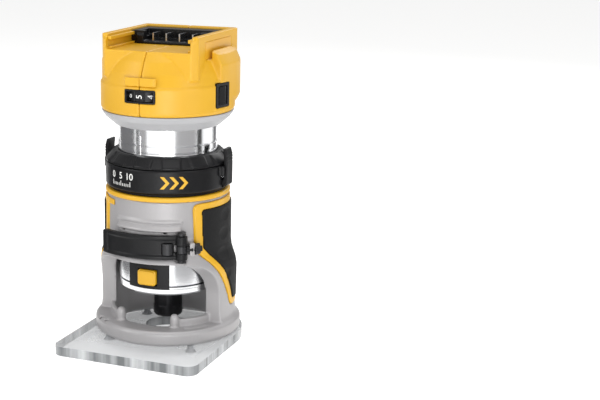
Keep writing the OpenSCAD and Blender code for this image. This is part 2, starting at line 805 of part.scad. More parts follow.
module bearing(r_out, r_in, z) {
    tube_ring(r_out, r_out - 1.9, z);
    tube_ring(r_in + 1.9, r_in, z);
    tube_ring(r_out - 1.85, r_in + 1.85, [z[0] + 1, z[1] - 1]);
}

module lower_bearing() { color(bright_metal) bearing(14, 6.02, lower_bearing_z); }
module upper_bearing() { color(bright_metal) bearing(11, 5.02, upper_bearing_z); }

module bearing_retainer() {
    color(dark_metal) tube_ring(17.4, 9, [nose_z[1] + 0.05, nose_z[1] + 1.6]);
}

module upper_bracket() {
    color(bright_metal) difference() {
        union() {
            tube_ring(15, 7, bracket_z);
            tube_ring(tube_in_r - 0.05, 27.5, bracket_z);
            for (i = [0:3]) rotate([0, 0, 45 + 90 * i]) span_box(6, [-28, -13], [bracket_z[0], bracket_z[0] + 6]);
        }
        translate([0, 0, upper_bearing_z[0] - 0.1]) cylinder(r = 11.05, h = 20);
        translate([0, 0, bracket_z[0] - 1]) cylinder(r = 7, h = 30);
    }
}

module collet() {
    color(dark_metal) difference() {
        rotate_extrude() polygon([
            [shank_r, 16.6], [6.8, 16.6], [7.5, 17.6], [7.5, 19.4], [6.1, 20.4], [6.1, 44], [shank_r, 44]
        ]);
        for (i = [0:3]) rotate([0, 0, 45 * i + 22.5]) span_box(0.8, [-20, 20], [10, i % 2 == 0 ? 36 : 15]);
    }
}

// Nut with a rounded lower edge and six spanner flats.
module collet_nut() {
    color(soft_black) difference() {
        intersection() {
            rotate_extrude() polygon([
                [5.6, 14.2], [8.4, 14.2], [9.6, 14.7], [nut_r, 16], [nut_r, 35], [nut_r - 0.8, 36], [5.6, 36]
            ]);
            union() {
                cylinder(r = nut_r + 1, h = 22);
                translate([0, 0, 20]) cylinder(r = 11.4, h = 20, $fn = 6);
            }
        }
        translate([0, 0, 16.3]) cylinder(r = 7.8, h = 4.4);
        translate([0, 0, 20.6]) cylinder(r = 8.28, h = 20);
    }
}

base_casting();
sub_base();
sub_base_screws();
base_trim_ring();
left_grip();
right_grip();
left_grip_border();
right_grip_border();
lever_pin();
clamp_screw();
clamp_nut();
clamp_lever();
lever_cam();
ring_carrier();
adjustment_ring();
left_release_tab();
right_release_tab();
tab_pins();
tab_springs();
motor_tube();
neck_cone();
head_left_shell();
head_right_shell();
housing_screws();
bay_rails();
terminal_block();
terminal_blades();
label_plate();
speed_dial();
dial_pin();
dial_bezel();
head_pad();
switch_frame();
switch_body();
switch_rocker();
control_board();
nose_housing();
light_ring();
lock_panel();
lock_button();
lock_pin();
lock_spring();
stator_core();
stator_windings();
rotor_magnet();
spindle();
fan();
lower_bearing();
upper_bearing();
bearing_retainer();
upper_bracket();
collet();
collet_nut();
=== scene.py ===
"""Visual model of a cordless trim router in its fixed base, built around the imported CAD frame."""

import json
import logging
import math
from dataclasses import dataclass, field
from enum import Enum
from typing import Callable, Iterable

import bmesh
import bpy
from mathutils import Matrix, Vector

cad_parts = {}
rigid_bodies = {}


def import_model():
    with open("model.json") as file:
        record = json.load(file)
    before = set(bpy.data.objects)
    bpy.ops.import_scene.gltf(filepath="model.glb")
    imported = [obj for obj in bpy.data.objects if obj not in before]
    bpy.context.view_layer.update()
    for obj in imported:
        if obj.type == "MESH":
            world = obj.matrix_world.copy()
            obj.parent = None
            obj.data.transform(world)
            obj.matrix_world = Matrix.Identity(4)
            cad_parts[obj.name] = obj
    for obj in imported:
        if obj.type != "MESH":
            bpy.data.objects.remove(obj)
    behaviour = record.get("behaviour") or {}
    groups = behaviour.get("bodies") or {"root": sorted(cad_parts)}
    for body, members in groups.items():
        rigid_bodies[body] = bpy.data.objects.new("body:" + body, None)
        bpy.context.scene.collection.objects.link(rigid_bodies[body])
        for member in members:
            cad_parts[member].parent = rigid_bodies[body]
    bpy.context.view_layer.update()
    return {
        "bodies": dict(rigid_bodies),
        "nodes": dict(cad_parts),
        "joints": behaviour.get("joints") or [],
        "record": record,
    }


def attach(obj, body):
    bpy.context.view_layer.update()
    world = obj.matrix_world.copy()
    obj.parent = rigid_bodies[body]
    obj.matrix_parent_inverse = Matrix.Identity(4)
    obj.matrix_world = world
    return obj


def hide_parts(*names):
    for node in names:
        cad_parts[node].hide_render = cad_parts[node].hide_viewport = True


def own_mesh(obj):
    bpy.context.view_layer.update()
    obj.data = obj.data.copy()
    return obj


LOG = logging.getLogger("trim_router")
MM = 0.001
Point = tuple[float, float, float]


class Tone(Enum):
    """Colours of the finishes, as sRGB hex."""

    HOUSING_YELLOW = "D2A01A"
    TRIM_YELLOW = "D5A31E"
    CAST_GREY = "A3A1A2"
    CONE_GREY = "A6A6A8"
    MOULDED_BLACK = "121214"
    GRIP_BLACK = "141415"
    BRIGHT_ALUMINIUM = "E6E7E9"
    STEEL = "B9BABD"
    BLACK_OXIDE = "2A2A2C"
    PRINT_WHITE = "EDEDEA"
    FILM = "D9A326"
    BOARD_GREEN = "17452B"
    COPPER = "B5622B"
    CLEAR = "CFD1D3"
    # Painted shade for the sawn edges of the clear plate.
    CLEAR_EDGE_SHADE = "55595B"
    CARD_BLACK = "0C0C0C"
    CARD_GREY = "6E6E70"
    CARD_PALE = "B4B4B6"
    FLOOR = "F5F5F4"


def linear(code: str) -> tuple[float, float, float, float]:
    """Turns an sRGB hex colour into linear RGBA.

    Args:
        code: Six hex digits.

    Returns:
        The linear colour with alpha 1.
    """
    parts = [int(code[i:i + 2], 16) / 255 for i in (0, 2, 4)]
    turned = [c / 12.92 if c <= 0.04045 else ((c + 0.055) / 1.055) ** 2.4 for c in parts]
    return (turned[0], turned[1], turned[2], 1.0)


# ---- Finishes ------------------------------------------------------------------


def add_node(tree: bpy.types.NodeTree, kind: str, links: dict | None = None, **settings) -> bpy.types.Node:
    """Adds one node with its settings and links.

    Args:
        tree: The material's node tree.
        kind: The node's type name.
        links: Input name or index to an output socket or a plain value.
        **settings: Properties of the node itself.

    Returns:
        The new node.
    """
    node = tree.nodes.new(kind)
    for name, value in settings.items():
        setattr(node, name, value)
    for name, value in (links or {}).items():
        if isinstance(value, bpy.types.NodeSocket):
            tree.links.new(value, node.inputs[name])
        else:
            node.inputs[name].default_value = value
    return node


def blank_material(name: str) -> bpy.types.Material:
    """Makes a node material that holds only its shader.

    Args:
        name: Name of the material.

    Returns:
        The new material.
    """
    material = bpy.data.materials.new(name)
    material.use_nodes = True
    return material


@dataclass(frozen=True)
class Finish:
    """A real material: its colour, its gloss, and the texture that its making leaves; on some finishes convex
    edges are also painted paler, as rubbed wear and as a painted sheen.

    Args:
        name: Name of the material.
        tone: Its colour.
        roughness: Mean roughness.
        metallic: 1 for bare metal.
        grain_mm: Size of the surface texture.
        grain_depth: Strength of that texture as bump.
        stretch: How much longer the grain is on each axis, for brushed or turned metal.
        mottle: How far the colour varies, as a part of itself.
        edge_wear_and_sheen: How much paler convex edges are.
        extra: Further shader socket values.
    """

    name: str
    tone: Tone
    roughness: float
    metallic: float = 0.0
    grain_mm: float = 0.5
    grain_depth: float = 0.15
    stretch: Point = (1.0, 1.0, 1.0)
    mottle: float = 0.05
    edge_wear_and_sheen: float = 0.0
    extra: dict = field(default_factory=dict)

    def build(self) -> bpy.types.Material:
        """Makes the node material, or finds the one already made.

        Returns:
            The material.
        """
        found = bpy.data.materials.get(self.name)
        if found:
            return found
        material = blank_material(self.name)
        tree = material.node_tree
        shader = tree.nodes["Principled BSDF"]
        shader.inputs["Metallic"].default_value = self.metallic
        for socket, value in self.extra.items():
            shader.inputs[socket].default_value = value
        place = add_node(tree, "ShaderNodeTexCoord").outputs["Object"]
        scale = 1 / (self.grain_mm * MM)
        mapped = add_node(tree, "ShaderNodeMapping", {"Vector": place, "Scale": self.stretch})
        grain = add_node(tree, "ShaderNodeTexNoise", {
            "Vector": mapped.outputs["Vector"], "Scale": scale, "Detail": 3.0, "Roughness": 0.6})
        cloud = add_node(tree, "ShaderNodeTexNoise", {"Vector": place, "Scale": 60.0, "Detail": 4.0})
        base = linear(self.tone.value)
        dark = tuple(c * (1 - self.mottle) for c in base[:3]) + (1.0,)
        colour = add_node(tree, "ShaderNodeMix", {0: cloud.outputs["Fac"]}, data_type="RGBA")
        colour.inputs[6].default_value = dark
        colour.inputs[7].default_value = base
        top = colour.outputs[2]
        # Convex edges painted paler: rubbed wear on the black-oxide steel, a painted sheen on the black moulding,
        # and on the other finishes simply paler convex edges.
        if self.edge_wear_and_sheen > 0:
            edge = add_node(tree, "ShaderNodeNewGeometry").outputs["Pointiness"]
            ramp = add_node(tree, "ShaderNodeMapRange", {
                "Value": edge, "From Min": 0.53, "From Max": 0.62, "To Min": 0.0, "To Max": self.edge_wear_and_sheen})
            worn_and_sheened = add_node(tree, "ShaderNodeMix", {0: ramp.outputs["Result"]}, data_type="RGBA")
            tree.links.new(top, worn_and_sheened.inputs[6])
            worn_and_sheened.inputs[7].default_value = tuple(min(1.0, c * 1.6 + 0.05) for c in base[:3]) + (1.0,)
            top = worn_and_sheened.outputs[2]
        tree.links.new(top, shader.inputs["Base Color"])
        gloss = add_node(tree, "ShaderNodeMapRange", {
            "Value": grain.outputs["Fac"], "To Min": self.roughness * 0.85, "To Max": self.roughness * 1.15})
        tree.links.new(gloss.outputs["Result"], shader.inputs["Roughness"])
        bump = add_node(tree, "ShaderNodeBump", {
            "Height": grain.outputs["Fac"], "Strength": self.grain_depth, "Distance": self.grain_mm * MM * 0.3})
        tree.links.new(bump.outputs["Normal"], shader.inputs["Normal"])
        return material


# Glass-filled nylon, spark-textured mould: a satin yellow with a fine even grain.
HOUSING = Finish("glass_filled_nylon_yellow", Tone.HOUSING_YELLOW, 0.42, grain_mm=0.45, grain_depth=0.12,
                 edge_wear_and_sheen=0.12)
# Moulded ABS, smoother and a shade lighter than the housing.
TRIM = Finish("moulded_abs_yellow", Tone.TRIM_YELLOW, 0.4, grain_mm=0.4, grain_depth=0.08, edge_wear_and_sheen=0.1)
# Die-cast aluminium under a silver-grey powder coat: soft sheen with a slight orange peel.
CAST = Finish("powder_coated_casting", Tone.CAST_GREY, 0.42, metallic=0.25, grain_mm=1.1, grain_depth=0.22,
              mottle=0.07, edge_wear_and_sheen=0.18)
# Moulded nylon, grey, with the same fine grain as the housing.
CONE = Finish("moulded_grey_nylon", Tone.CONE_GREY, 0.42, grain_mm=0.4, grain_depth=0.1)
# Moulded nylon, black: a low painted sheen, every round edge painted paler.
BLACK = Finish("moulded_black_nylon", Tone.MOULDED_BLACK, 0.38, grain_mm=0.4, grain_depth=0.15, mottle=0.2,
               edge_wear_and_sheen=0.1,
               extra={"Specular IOR Level": 0.25})
# Thermoplastic rubber over-mould: dull, with a coarser leather-like grain.
RUBBER = Finish("overmoulded_rubber", Tone.GRIP_BLACK, 0.62, grain_mm=0.9, grain_depth=0.45, mottle=0.25,
                extra={"Specular IOR Level": 0.25})
# Turned aluminium: fine rings round the axis, which are long across and short along Z.
TURNED = Finish("turned_aluminium", Tone.BRIGHT_ALUMINIUM, 0.16, metallic=1.0, grain_mm=0.6, grain_depth=0.05,
                stretch=(0.05, 0.05, 1.0), mottle=0.04, extra={"Anisotropic": 0.4})
# Ground steel: bright, with a faint grinding grain.
STEEL = Finish("ground_steel", Tone.STEEL, 0.25, metallic=1.0, grain_mm=0.3, grain_depth=0.05,
               stretch=(0.2, 0.2, 1.0))
# Black-oxide steel: dark and slightly oily, pale where edges rub.
OXIDE = Finish("black_oxide_steel", Tone.BLACK_OXIDE, 0.33, metallic=0.8, grain_mm=0.4, grain_depth=0.12,
               mottle=0.2, edge_wear_and_sheen=0.3)
# Pad-printed ink, white and yellow: thin and matt.
PRINT = Finish("pad_printed_ink", Tone.PRINT_WHITE, 0.5, grain_mm=0.3, grain_depth=0.03)
PRINT_YELLOW = Finish("pad_printed_yellow_ink", Tone.TRIM_YELLOW, 0.5, grain_mm=0.3, grain_depth=0.03)
# Blank label film: smooth and satin.
FILM = Finish("blank_label_film", Tone.FILM, 0.35, grain_mm=0.8, grain_depth=0.02)
# Solder mask on a glass-fibre board.
BOARD = Finish("solder_mask", Tone.BOARD_GREEN, 0.3, grain_mm=0.6, grain_depth=0.05)
# Enamelled copper wire, lacquered in its coils.
COPPER = Finish("enamelled_copper", Tone.COPPER, 0.3, metallic=1.0, grain_mm=0.5, grain_depth=0.3,
                stretch=(1.0, 1.0, 0.1))
# Seamless background paper, lit through so that it stays near white.
FLOOR = Finish("seamless_paper", Tone.FLOOR, 0.85, grain_mm=1.0, grain_depth=0.01, mottle=0.01,
               extra={"Emission Color": (1.0, 1.0, 1.0, 1.0), "Emission Strength": 0.45})
# Flock-covered cards, stood beside the object so that its bright metal shows bands.
CARDS = {
    "black": Finish("black_flock_card", Tone.CARD_BLACK, 0.9, grain_mm=1.0, grain_depth=0.05),
    "grey": Finish("grey_flock_card", Tone.CARD_GREY, 0.9, grain_mm=1.0, grain_depth=0.05),
    "pale": Finish("pale_flock_card", Tone.CARD_PALE, 0.9, grain_mm=1.0, grain_depth=0.05),
}


@dataclass(frozen=True)
class ClearPlastic:
    """Polycarbonate, cut from clear sheet: glossy clear faces, and sawn edges with upright saw streaks whose dark
    grey is painted shade.

    Args:
        name: Name of the material.
        roughness: Mean roughness of the faces.
        face_alpha: How much of a face is seen.
        edge_alpha: How much of an edge is seen.
    """

    name: str
    roughness: float = 0.08
    face_alpha: float = 0.42
    edge_alpha: float = 0.93

    def build(self) -> bpy.types.Material:
        """Makes the node material, or finds the one already made.

        Returns:
            The material.
        """
        found = bpy.data.materials.get(self.name)
        if found:
            return found
        material = blank_material(self.name)
        tree = material.node_tree
        shader = tree.nodes["Principled BSDF"]
        shader.inputs["IOR"].default_value = 1.58
        place = add_node(tree, "ShaderNodeTexCoord").outputs["Object"]
        facing = add_node(tree, "ShaderNodeSeparateXYZ", {
            "Vector": add_node(tree, "ShaderNodeNewGeometry").outputs["Normal"]})
        upright = add_node(tree, "ShaderNodeMath", {0: facing.outputs["Z"]}, operation="ABSOLUTE")
        edge = add_node(tree, "ShaderNodeMapRange", {
            "Value": upright.outputs[0], "From Min": 0.35, "From Max": 0.75, "To Min": 1.0, "To Max": 0.0})
        along = add_node(tree, "ShaderNodeMapping", {"Vector": place, "Scale": (1.0, 1.0, 0.04)})
        streak = add_node(tree, "ShaderNodeTexNoise", {
            "Vector": along.outputs["Vector"], "Scale": 95.0, "Detail": 5.0})
        spread = add_node(tree, "ShaderNodeMapRange", {
            "Value": streak.outputs["Fac"], "From Min": 0.36, "From Max": 0.78})
        # Upright faces, the sawn edges, get painted shade: dark grey broken by upright saw streaks.
        sawn_edge_shade = add_node(tree, "ShaderNodeMix", {0: spread.outputs["Result"]}, data_type="RGBA")
        sawn_edge_shade.inputs[6].default_value = linear(Tone.CLEAR_EDGE_SHADE.value)
        sawn_edge_shade.inputs[7].default_value = linear(Tone.CLEAR.value)
        colour = add_node(tree, "ShaderNodeMix", {0: edge.outputs["Result"]}, data_type="RGBA")
        colour.inputs[6].default_value = linear(Tone.CLEAR.value)
        tree.links.new(sawn_edge_shade.outputs[2], colour.inputs[7])
        tree.links.new(colour.outputs[2], shader.inputs["Base Color"])
        seen = add_node(tree, "ShaderNodeMapRange", {
            "Value": edge.outputs["Result"], "To Min": self.face_alpha, "To Max": self.edge_alpha})
        tree.links.new(seen.outputs["Result"], shader.inputs["Alpha"])
        haze = add_node(tree, "ShaderNodeTexNoise", {"Vector": place, "Scale": 90.0, "Detail": 5.0})
        gloss = add_node(tree, "ShaderNodeMapRange", {
            "Value": haze.outputs["Fac"], "From Min": 0.35, "From Max": 0.75,
            "To Min": self.roughness * 0.5, "To Max": self.roughness * 1.6})
        tree.links.new(gloss.outputs["Result"], shader.inputs["Roughness"])
        return material


CLEAR = ClearPlastic("clear_cut_polycarbonate")

NODE_FINISHES: dict[str, Finish | ClearPlastic] = {
    "sub_base": CLEAR, "light_ring": CLEAR, "sub_base_screws": STEEL, "base_trim_ring": TRIM,
    "base_casting": CAST, "left_grip": RUBBER, "right_grip": RUBBER, "left_grip_border": TRIM,
    "right_grip_border": TRIM, "lever_pin": OXIDE, "clamp_screw": OXIDE, "clamp_nut": OXIDE,
    "clamp_lever": BLACK, "lever_cam": OXIDE, "ring_carrier": BLACK, "adjustment_ring": BLACK,
    "left_release_tab": BLACK, "right_release_tab": BLACK, "tab_pins": STEEL, "tab_springs": STEEL,
    "motor_tube": TURNED, "neck_cone": CONE, "head_left_shell": HOUSING, "head_right_shell": HOUSING,
    "housing_screws": OXIDE, "bay_rails": HOUSING, "terminal_block": BLACK, "terminal_blades": STEEL,
    "label_plate": FILM, "speed_dial": BLACK, "dial_pin": STEEL, "dial_bezel": BLACK, "head_pad": HOUSING,
    "switch_frame": BLACK, "switch_body": BLACK, "switch_rocker": BLACK, "control_board": BOARD,
    "nose_housing": TURNED, "lock_panel": BLACK, "lock_button": TRIM, "lock_pin": OXIDE,
    "lock_spring": STEEL, "stator_core": OXIDE, "stator_windings": COPPER, "rotor_magnet": STEEL,
    "spindle": STEEL, "fan": BLACK, "lower_bearing": STEEL, "upper_bearing": STEEL,
    "bearing_retainer": STEEL, "upper_bracket": TURNED, "collet": STEEL, "collet_nut": OXIDE,
}


# ---- Mesh helpers ---------------------------------------------------------------


def dress(piece: bpy.types.Object, finish: Finish | ClearPlastic) -> None:
    """Gives a piece one finish on all its faces.

    Args:
        piece: The piece.
        finish: Its finish.
    """
    piece.data.materials.clear()
    piece.data.materials.append(finish.build())


def linked(name: str, data: bpy.types.Mesh) -> bpy.types.Object:
    """Puts a mesh into the scene as an object.

    Args:
        name: The object's name.
        data: Its mesh.

    Returns:
        The new object.
    """
    item = bpy.data.objects.new(name, data)
    bpy.context.scene.collection.objects.link(item)
    return item


def meshed(name: str, mesh: bmesh.types.BMesh) -> bpy.types.Mesh:
    """Turns a bmesh into mesh data and frees it.

    Args:
        name: Name of the mesh.
        mesh: Its geometry in metres.

    Returns:
        The mesh data.
    """
    data = bpy.data.meshes.new(name)
    mesh.to_mesh(data)
    mesh.free()
    return data


def new_piece(name: str, mesh: bmesh.types.BMesh, body: str,
              finish: Finish | ClearPlastic) -> bpy.types.Object:
    """Turns a bmesh into a dressed piece that rides on a body.

    Args:
        name: The piece's name.
        mesh: Its geometry in metres; it is freed here.
        body: The CAD body it moves with.
        finish: Its finish.

    Returns:
        The new object.
    """
    bmesh.ops.recalc_face_normals(mesh, faces=mesh.faces)
    piece = linked(name, meshed(name, mesh))
    dress(piece, finish)
    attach(piece, body)
    return piece


def apply_modifiers(piece: bpy.types.Object) -> None:
    """Bakes every modifier of a piece into its mesh.

    Args:
        piece: The piece, changed in place.
    """
    graph = bpy.context.evaluated_depsgraph_get()
    baked = bpy.data.meshes.new_from_object(piece.evaluated_get(graph))
    piece.modifiers.clear()
    piece.data = baked


def softened(frame: dict, node: str, body: str, voxel: float, passes: int, finish: Finish,
             shape: Callable[[bpy.types.Object], None] | None = None) -> bpy.types.Object:
    """Moulded or cast version of a CAD node, with every edge rounded as a tool leaves it.

    Args:
        frame: The loaded frame.
        node: The CAD node it replaces.
        body: The body it rides on.
        voxel: Size of the remesh in millimetres.
        passes: Smoothing passes; more make larger radii.
        finish: Its finish.
        shape: Optional further work on the fine mesh before smoothing.

    Returns:
        The new piece.
    """
    piece = linked(node + "_formed", frame["nodes"][node].data.copy())
    remesh = piece.modifiers.new("fine", "REMESH")
    remesh.mode = "VOXEL"
    remesh.voxel_size = voxel * MM
    apply_modifiers(piece)
    if shape:
        shape(piece)
    smooth = piece.modifiers.new("round", "SMOOTH")
    smooth.factor = 0.5
    smooth.iterations = passes
    thin = piece.modifiers.new("thin", "DECIMATE")
    thin.ratio = 0.5
    apply_modifiers(piece)
    piece.data.shade_smooth()
    dress(piece, finish)
    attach(piece, body)
    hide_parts(node)
    return piece


def wrapped(mesh: bmesh.types.BMesh, radius: float, turn: float, height: float) -> None:
    """Bends flat geometry round the Z axis. Its x runs along the arc, y up and z outwards.

    Args:
        mesh: Geometry in metres, changed in place.
        radius: Radius of the surface in millimetres.
        turn: Angle of its middle from the front, in degrees.
        height: Height of its middle in millimetres.
    """
    for vert in mesh.verts:
        along, up, out = vert.co
        angle = math.radians(turn) + along / (radius * MM)
        reach = radius * MM + out
        vert.co = Vector((reach * math.sin(angle), -reach * math.cos(angle), up + height * MM))


def flat_shape(outlines: Iterable[list[tuple[float, float]]], thickness: float,
               step: float = 0.8) -> bmesh.types.BMesh:
    """Thin raised print from flat outlines, cut fine enough to bend.

    Args:
        outlines: Convex outlines in millimetres.
        thickness: Height of the print in millimetres.
        step: Widest stretch left uncut along x, in millimetres.

    Returns:
        The geometry in metres.
    """
    mesh = bmesh.new()
    for outline in outlines:
        face = mesh.faces.new([mesh.verts.new((x * MM, y * MM, 0)) for x, y in outline])
        lifted = bmesh.ops.extrude_face_region(mesh, geom=[face])
        for vert in (g for g in lifted["geom"] if isinstance(g, bmesh.types.BMVert)):
            vert.co.z += thickness * MM
    low = min(v.co.x for v in mesh.verts)
    high = max(v.co.x for v in mesh.verts)
    for i in range(1, int((high - low) / (step * MM)) + 1):
        geometry = list(mesh.verts) + list(mesh.edges) + list(mesh.faces)
        bmesh.ops.bisect_plane(mesh, geom=geometry, plane_co=(low + i * step * MM, 0, 0), plane_no=(1, 0, 0))
    return mesh


def numeral(text: str, size: float, turn: float = 0.0) -> bmesh.types.BMesh:
    """A plain raised number.

    Args:
        text: The digits.
        size: Height in millimetres.
        turn: Turn in its own plane, in degrees.

    Returns:
        The geometry in metres, centred.
    """
    curve = bpy.data.curves.new("numeral", "FONT")
    curve.body = text
    curve.size = size * MM
    curve.extrude = 0.05 * MM
    curve.align_x = "CENTER"
    curve.align_y = "CENTER"
    curve.resolution_u = 4
    holder = bpy.data.objects.new("numeral", curve)
    data = bpy.data.meshes.new_from_object(holder)
    mesh = bmesh.new()
    mesh.from_mesh(data)
    bpy.data.objects.remove(holder)
    bpy.data.curves.remove(curve)
    c, s = math.cos(math.radians(turn)), math.sin(math.radians(turn))
    for vert in mesh.verts:
        x, y, z = vert.co
        vert.co = Vector((c * x - s * y, s * x + c * y, z))
    bmesh.ops.remove_doubles(mesh, verts=mesh.verts, dist=1e-6)
    return mesh


def joined(parts: Iterable[bmesh.types.BMesh]) -> bmesh.types.BMesh:
    """Puts several geometries into one and frees them.

    Args:
        parts: The geometries.

    Returns:
        One geometry that holds them all.
    """
    whole = bmesh.new()
    for part in parts:
        data = meshed("part", part)
        whole.from_mesh(data)
        bpy.data.meshes.remove(data)
    return whole


def coil(name: str, start: Point, along: Point, length: float, radius: float, wire: float, turns: float,
         body: str) -> bpy.types.Object:
    """A coil spring of round wire.

    Args:
        name: The piece's name.
        start: Middle of its first turn, in millimetres.
        along: Direction of its axis, X or Y.
        length: Length in millimetres.
        radius: Middle radius of the coil in millimetres.
        wire: Wire radius in millimetres.
        turns: Number of turns.
        body: The body it rides on.

    Returns:
        The new piece.
    """
    axis = Vector(along).normalized()
    side = axis.orthogonal().normalized()
    other = axis.cross(side)
    mesh = bmesh.new()
    rings, sides, last = int(turns * 20), 8, None
    for i in range(rings + 1):
        t = i / rings
        a = 2 * math.pi * turns * t
        centre = Vector(start) + axis * length * t + (side * math.cos(a) + other * math.sin(a)) * radius
        out = side * math.cos(a) + other * math.sin(a)
        ring = [mesh.verts.new((centre + (out * math.cos(b) + axis * math.sin(b)) * wire) * MM)
                for b in (2 * math.pi * j / sides for j in range(sides))]
        if last:
            for j in range(sides):
                k = (j + 1) % sides
                mesh.faces.new((last[j], last[k], ring[k], ring[j]))
        else:
            mesh.faces.new(ring)
        last = ring
    mesh.faces.new(last)
    piece = new_piece(name, mesh, body, STEEL)
    piece.data.shade_smooth()
    return piece


# ---- Sub-assemblies ----------------------------------------------------------------


@dataclass
class FixedBase:
    """Casting, clear plate, grips and clamp."""

    frame: dict
    cast_voxel: float = 0.7
    grip_voxel: float = 0.45
    dimple_rows: tuple[float, ...] = (93.0, 80.0, 66.0, 52.0, 40.0)

    def build(self) -> None:
        """Makes the base's own pieces."""
        softened(self.frame, "base_casting", "base", self.cast_voxel, 6, CAST)
        for side in ("left", "right"):
            softened(self.frame, f"{side}_grip_border", "base", self.grip_voxel, 4, TRIM)
            softened(self.frame, f"{side}_grip", "base", self.grip_voxel, 5, RUBBER, self.press_dimples)
        softened(self.frame, "base_trim_ring", "base", 0.5, 3, TRIM)
        softened(self.frame, "clamp_lever", "lever", 0.4, 4, BLACK)
        self.plate()

    def press_dimples(self, grip: bpy.types.Object) -> None:
        """Presses shallow oval finger dimples into the rubber.

        Args:
            grip: The fine grip mesh, changed in place.
        """
        for vert in grip.data.vertices:
            angle = math.degrees(math.atan2(abs(vert.co.x), -vert.co.y))
            reach = math.hypot(vert.co.x, vert.co.y)
            if reach < 0.0428:
                continue
            for row, z in enumerate(self.dimple_rows):
                along = (angle - 88 + 3 * row) / 9.0
                up = (vert.co.z / MM - z) / 4.6
                fall = 1 - along * along - up * up
                if fall > 0:
                    vert.co.x *= 1 - 0.022 * fall
                    vert.co.y *= 1 - 0.022 * fall

    def plate(self) -> None:
        """The clear plate, with its edges broken."""
        piece = linked("clear_plate", self.frame["nodes"]["sub_base"].data.copy())
        weld = piece.modifiers.new("weld", "WELD")
        weld.merge_threshold = 1e-6
        edge = piece.modifiers.new("edge", "BEVEL")
        edge.width = 0.5 * MM
        edge.segments = 3
        edge.limit_method = "ANGLE"
        edge.angle_limit = math.radians(50)
        apply_modifiers(piece)
        piece.data.shade_smooth()
        dress(piece, CLEAR)
        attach(piece, "base")
        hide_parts("sub_base")


@dataclass
class DepthRing:
    """Carrier with its printed scale, ribbed ring and release tabs."""

    frame: dict
    band_r: float = 43.52
    scale_turn: float = -23.0
    mark_turn: float = 30.0
    mid_z: float = 119.6

    def build(self) -> None:
        """Makes the ring's own pieces."""
        softened(self.frame, "ring_carrier", "base", 0.5, 4, BLACK)
        softened(self.frame, "adjustment_ring", "depth_ring", 0.45, 4, BLACK)
        for side, sign in (("left", -1), ("right", 1)):
            softened(self.frame, f"{side}_release_tab", f"{side}_tab", 0.35, 3, BLACK)
            spring = coil(f"{side}_tab_spring", (sign * 39.8, 0, 118.4), (sign, 0, 0), 2.85, 1.7, 0.35, 4, "base")
            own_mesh(spring)
            if side == "left":
                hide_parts("tab_springs")
        self.scale()
        self.mark()

    def scale(self) -> None:
        """White graduations with plain numbers."""
        ticks = []
        for i in range(-5, 6):
            tall = 3.4 if i % 5 == 0 else 1.9
            ticks.append([(i * 1.7 - 0.22, -4.6), (i * 1.7 + 0.22, -4.6), (i * 1.7 + 0.22, tall - 4.6),
                          (i * 1.7 - 0.22, tall - 4.6)])
        parts = [flat_shape(ticks, 0.08)]
        for i, text in ((-5, "0"), (0, "5"), (5, "10")):
            digits = numeral(text, 6.6)
            for vert in digits.verts:
                vert.co += Vector((i * 1.55 * MM, 2.2 * MM, 0))
            parts.append(digits)
        print_mesh = joined(parts)
        wrapped(print_mesh, self.band_r, self.scale_turn, self.mid_z)
        new_piece("depth_scale_print", print_mesh, "base", PRINT)

    def mark(self) -> None:
        """Generic triple chevron that shows the way the ring turns."""
        shapes = []
        for x in (-9.6, -3.2, 3.2):
            shapes.append([(x, 4.2), (x + 2.6, 4.2), (x + 6.4, 0), (x + 3.8, 0)])
            shapes.append([(x + 3.8, 0), (x + 6.4, 0), (x + 2.6, -4.2), (x, -4.2)])
        mesh = flat_shape(shapes, 0.08)
        wrapped(mesh, self.band_r, self.mark_turn, self.mid_z)
        new_piece("turn_mark_print", mesh, "base", PRINT_YELLOW)


@dataclass
class MotorHead:
    """Head mouldings, dial, switch and battery bay."""

    frame: dict
    voxel: float = 0.6
    dial_r: float = 13.02
    dial_y: float = -33.0
    dial_z: float = 177.75

    def build(self) -> None:
        """Makes the head's own pieces."""
        softened(self.frame, "head_left_shell", "motor", self.voxel, 5, HOUSING)
        softened(self.frame, "head_right_shell", "motor", self.voxel, 5, HOUSING)
        softened(self.frame, "neck_cone", "motor", 0.6, 4, CONE)
        softened(self.frame, "terminal_block", "motor", 0.5, 2, BLACK)
        softened(self.frame, "head_pad", "motor", 0.25, 3, HOUSING)
        softened(self.frame, "switch_frame", "motor", 0.2, 2, BLACK)
        softened(self.frame, "switch_rocker", "rocker", 0.2, 3, BLACK)
        softened(self.frame, "bay_rails", "motor", 0.35, 2, HOUSING)
        self.dial_numbers()

    def dial_numbers(self) -> None:
        """Speed numbers 1 to 6 round the thumb wheel, lying on their sides."""
        parts = []
        for i in range(6):
            digits = numeral(str(i + 1), 6.0, 90)
            wrapped(digits, self.dial_r, (i - 4) * -36.0, self.dial_z)
            parts.append(digits)
        mesh = joined(parts)
        for vert in mesh.verts:
            vert.co.y += self.dial_y * MM
        new_piece("dial_numbers", mesh, "dial", PRINT)


@dataclass
class MotorNose:
    """Lower housing with the spindle lock and the collet nut."""

    frame: dict

    def build(self) -> None:
        """Makes the nose's own pieces."""
        softened(self.frame, "lock_button", "lock", 0.3, 4, TRIM)
        softened(self.frame, "lock_panel", "motor", 0.35, 2, BLACK)
        softened(self.frame, "collet_nut", "nut", 0.3, 3, OXIDE)
        spring = coil("lock_return_spring", (0, -18.6, 50.5), (0, -1, 0), 11.6, 3.0, 0.4, 6, "motor")
        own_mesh(spring)
        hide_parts("lock_spring")


# ---- Studio --------------------------------------------------------------------------


